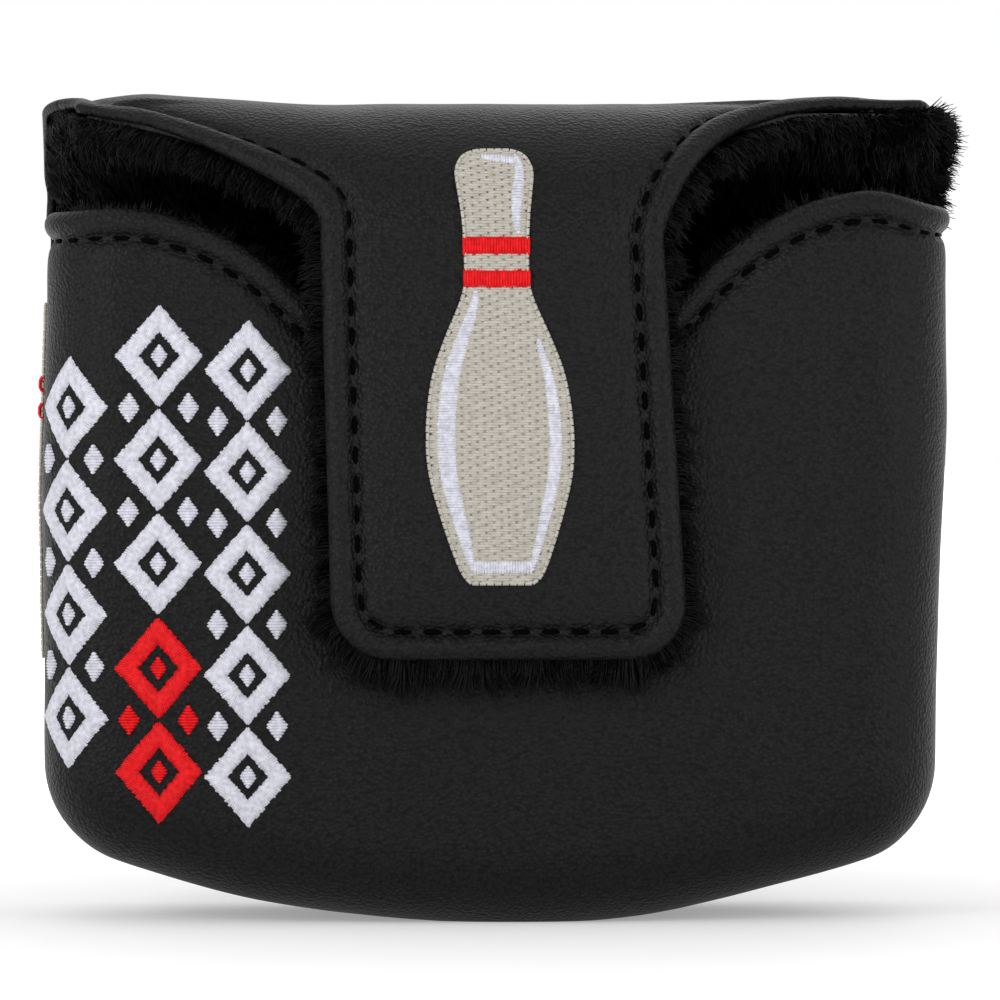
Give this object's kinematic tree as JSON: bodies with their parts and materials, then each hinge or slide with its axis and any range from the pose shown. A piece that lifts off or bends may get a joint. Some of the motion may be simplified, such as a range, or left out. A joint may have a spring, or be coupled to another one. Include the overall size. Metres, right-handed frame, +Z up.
{
  "type": "putter head cover",
  "caption": "Black leather cover for a mallet putter head: a plush-lined pouch with a magnetic fold-over flap, embroidered with a ten-pin and a lozenge chain.",
  "frame": {"origin": "bottom centre of the closed cover's bounding box, on the surface it stands on", "axes": "+X to the right as the embroidered front is faced, +Y to the plain back, +Z up to the flap"},
  "size_m": [0.1308, 0.0515, 0.116],
  "materials": {
    "leather": "black coated leather, fine grain, soft satin sheen",
    "plush": "black long-pile plush, matt with faint glints",
    "foam": "soft grey foam sheet, matt",
    "backing": "plain white non-woven cloth, matt",
    "magnet": "nickel-plated, bright",
    "black_thread": "black polyester sewing thread, faint sheen",
    "ivory_thread": "ivory embroidery thread, soft sheen",
    "white_thread": "cool white embroidery thread, silky sheen",
    "red_thread": "bright red embroidery thread, silky sheen"
  },
  "bodies": {
    "pouch": {"front_shell": "leather", "back_shell": "leather", "front_lining": "plush", "back_lining": "plush", "front_foam": "foam", "back_foam": "foam", "ornament_backing": "backing", "front_magnet_patch": "backing", "front_magnet_left": "magnet", "front_magnet_right": "magnet", "front_topstitch": "black_thread", "side_seam_thread": "black_thread", "side_pin_fill": "ivory_thread", "ornament_row_inner": "white_thread", "ornament_row_middle": "white_thread", "ornament_row_outer": "white_thread", "ornament_row_middle_red": "red_thread", "side_pin_band_upper": "red_thread", "side_pin_band_lower": "red_thread"},
    "roof": {"roof_shell": "leather", "roof_foam": "foam", "roof_lining": "plush", "roof_topstitch_left": "black_thread", "roof_topstitch_right": "black_thread"},
    "tongue": {"tongue_shell": "leather", "tongue_foam": "foam", "tongue_lining": "plush", "tongue_topstitch": "black_thread", "flap_magnet_left": "magnet", "flap_magnet_right": "magnet", "flap_magnet_patch": "backing", "pin_fill": "ivory_thread", "pin_band_upper": "red_thread", "pin_band_lower": "red_thread", "pin_line_left": "white_thread", "pin_line_right": "white_thread", "pin_line_foot": "white_thread", "pin_line_head": "white_thread", "pin_backing": "backing"}
  },
  "joints": [
    {"name": "flap_hinge", "type": "hinge", "parent": "pouch", "child": "roof", "pos_m": [0, 0.0257, 0.096], "axis": [-1, 0, 0], "range_deg": [0, 150]},
    {"name": "tongue_fold", "type": "hinge", "parent": "roof", "child": "tongue", "pos_m": [0, -0.01681, 0.10958], "axis": [-1, 0, 0], "range_deg": [0, 80]}
  ]
}
